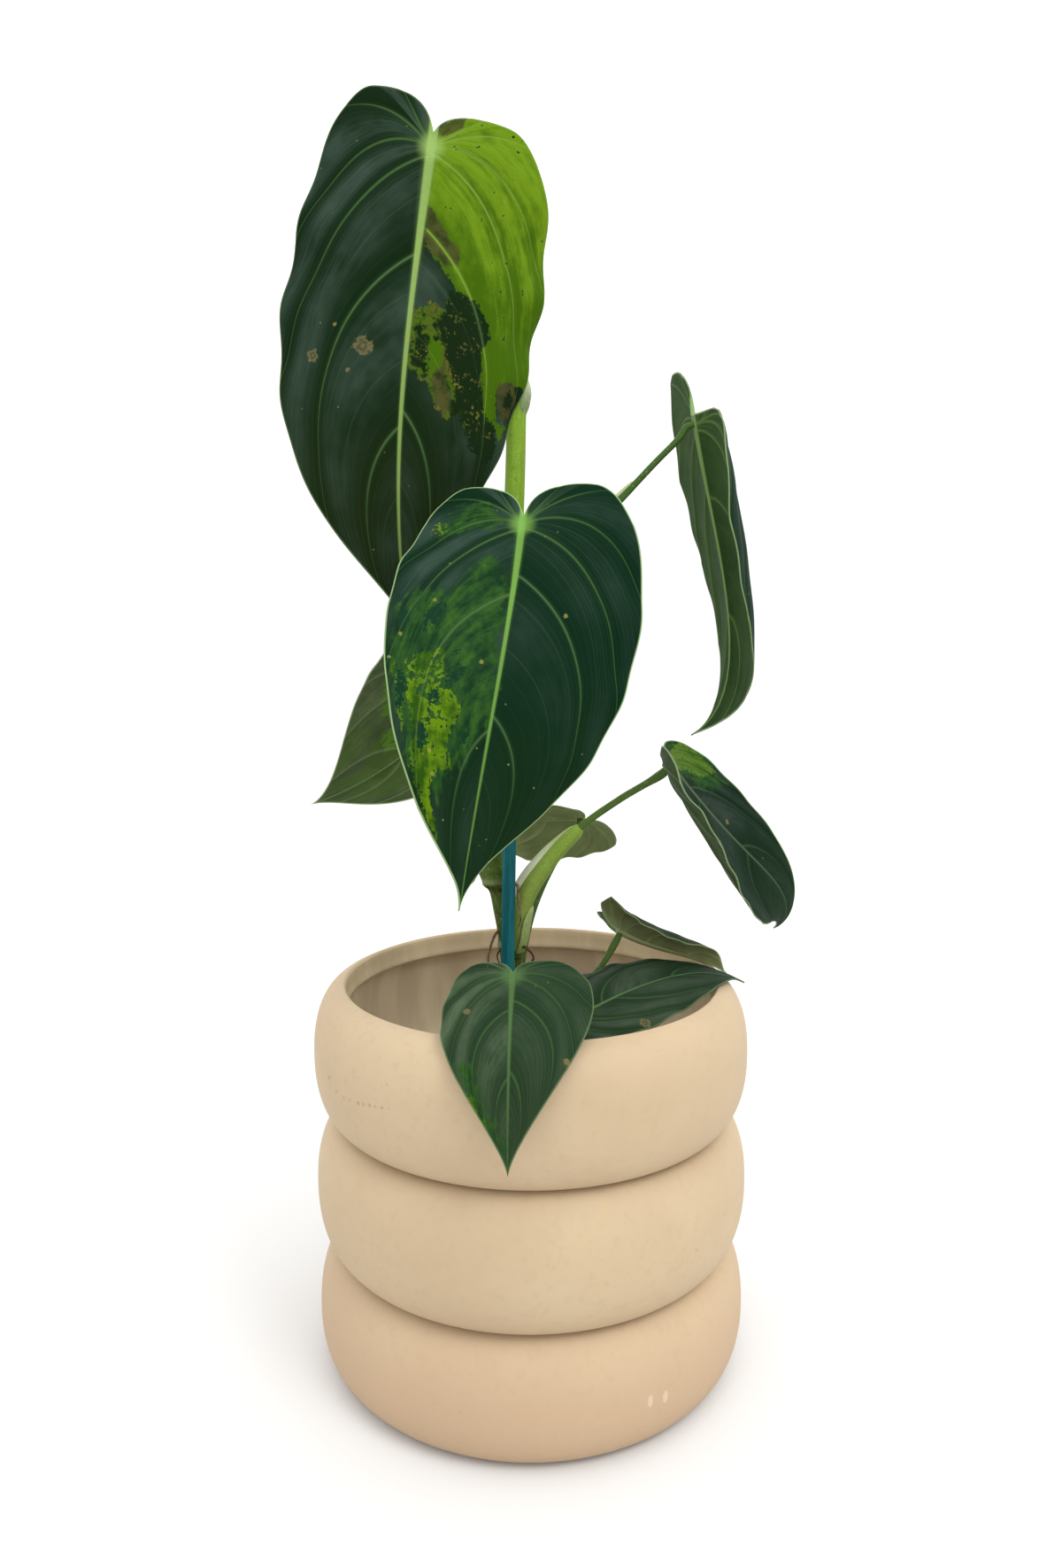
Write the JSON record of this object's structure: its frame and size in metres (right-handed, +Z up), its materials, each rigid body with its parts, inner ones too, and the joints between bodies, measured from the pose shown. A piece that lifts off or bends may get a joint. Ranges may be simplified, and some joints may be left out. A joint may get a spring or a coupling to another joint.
{
  "type": "potted variegated philodendron",
  "caption": "Climbing aroid house plant with heart-shaped variegated leaves on a dyed stake, in a nursery pot inside a ribbed ceramic cover pot.",
  "frame": {"origin": "centre of the cover pot's flat underside, on the surface that it stands on", "axes": "+Z up along the stem, +X to the right as pictured, +Y away from the picture's viewer"},
  "size_m": [0.2404, 0.2182, 0.5495],
  "materials": {
    "pot_ceramic": "matte peach bisque with small scuffs",
    "nursery_plastic": "matte dark moulded plastic",
    "substrate": "coarse bark chips and perlite",
    "stem": "smooth green stem with pale nodes",
    "stake_wood": "teal dyed raw wood",
    "root": "dry brown aerial root",
    "petiole": "smooth green leaf stalk",
    "blade_variegated": "velvety dark green with lime sectors and mottles",
    "blade_green": "velvety dark green with pale veins"
  },
  "bodies": {
    "root": {"cover_pot": "pot_ceramic", "nursery_pot": "nursery_plastic", "substrate": "substrate", "stem": "stem", "stake": "stake_wood", "aerial_root_left": "root", "aerial_root_low": "root", "aerial_root_front": "root", "petiole_top": "petiole", "petiole_front": "petiole", "petiole_right_high": "petiole", "petiole_right_low": "petiole", "petiole_left_back": "petiole", "petiole_back": "petiole", "petiole_rim": "petiole", "petiole_opening": "petiole", "petiole_rim_back": "petiole", "blade_top": "blade_variegated", "blade_front": "blade_variegated", "blade_right_high": "blade_green", "blade_right_low": "blade_variegated", "blade_left_back": "blade_variegated", "blade_back": "blade_green", "blade_rim": "blade_green", "blade_opening": "blade_green", "blade_rim_back": "blade_green"}
  },
  "joints": []
}
